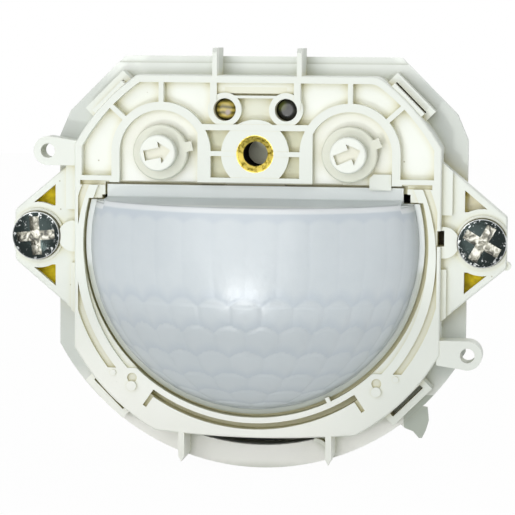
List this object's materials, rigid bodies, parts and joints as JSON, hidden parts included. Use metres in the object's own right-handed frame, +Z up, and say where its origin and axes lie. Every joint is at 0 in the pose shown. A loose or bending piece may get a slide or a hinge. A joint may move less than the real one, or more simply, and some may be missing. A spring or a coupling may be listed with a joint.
{
  "type": "flush motion detector",
  "caption": "Flush-mounted motion detector unit with a half-dome lens, ribbed front frame, turning adjusters and a steel mounting strap, without its cover plate.",
  "frame": {"origin": "midway between the two box screws, on the wall plane (the back of the flange)", "axes": "+X to the right seen from the front, +Z up, +Y into the wall; the front looks along -Y"},
  "size_m": [0.0669, 0.045, 0.057],
  "materials": {
    "flange_plastic": "moulded white plastic, slightly grey-green",
    "frame_plastic": "moulded warm white plastic",
    "strap_steel": "yellow-passivated zinc on steel",
    "lens_plastic": "milky polyethylene, satin",
    "insert_brass": "turned brass",
    "knob_plastic": "translucent white plastic",
    "trimmer_plastic": "dark moulded case",
    "rotor_plastic": "pale moulded rotor",
    "screw_nickel": "nickel plate on steel",
    "board_laminate": "glass-fibre laminate with solder mask",
    "sensor_metal": "nickel-plated steel can",
    "filter_silicon": "dark coated silicon",
    "led_body": "olive and gold lacquer",
    "ldr_body": "dark lacquered ceramic",
    "housing_plastic": "moulded white plastic",
    "relay_case": "black moulded case",
    "film_case": "yellow moulded case",
    "can_sleeve": "dark shrink sleeve",
    "ferrite": "sintered ferrite",
    "winding_copper": "lacquered copper wire",
    "fuse_case": "brown moulded case",
    "varistor_lacquer": "blue epoxy lacquer",
    "connector_plastic": "black moulded strip",
    "terminal_plastic": "light grey moulded block",
    "terminal_metal": "tinned brass",
    "terminal_steel": "zinc-plated steel"
  },
  "bodies": {
    "detector": {"mounting_flange": "flange_plastic", "mounting_strap": "strap_steel", "front_frame": "frame_plastic", "lens": "lens_plastic", "threaded_insert": "insert_brass", "trimmer_time_case": "trimmer_plastic", "trimmer_light_case": "trimmer_plastic", "box_screw_left": "screw_nickel", "box_screw_right": "screw_nickel", "sensor_board": "board_laminate", "pir_header": "sensor_metal", "pir_can": "sensor_metal", "pir_window": "filter_silicon", "indicator_led": "led_body", "light_sensor": "ldr_body", "rear_housing": "housing_plastic", "power_board": "board_laminate", "relay": "relay_case", "film_capacitor": "film_case", "electrolytic_capacitor": "can_sleeve", "choke": "ferrite", "choke_winding": "winding_copper", "fuse": "fuse_case", "varistor": "varistor_lacquer", "board_header": "connector_plastic", "board_socket": "connector_plastic", "terminal_block": "terminal_plastic", "terminal_clamps": "terminal_metal", "terminal_screws": "terminal_steel"},
    "time_adjuster": {"knob_time": "knob_plastic", "trimmer_time_rotor": "rotor_plastic"},
    "light_adjuster": {"knob_light": "knob_plastic", "trimmer_light_rotor": "rotor_plastic"}
  },
  "joints": [
    {"name": "time_turn", "type": "hinge", "parent": "detector", "child": "time_adjuster", "pos_m": [-0.01285, -0.0074, 0.01152], "axis": [0, -1, 0], "range_deg": [-57, 213]},
    {"name": "light_turn", "type": "hinge", "parent": "detector", "child": "light_adjuster", "pos_m": [0.01245, -0.0074, 0.01152], "axis": [0, -1, 0], "range_deg": [-67, 203]}
  ]
}
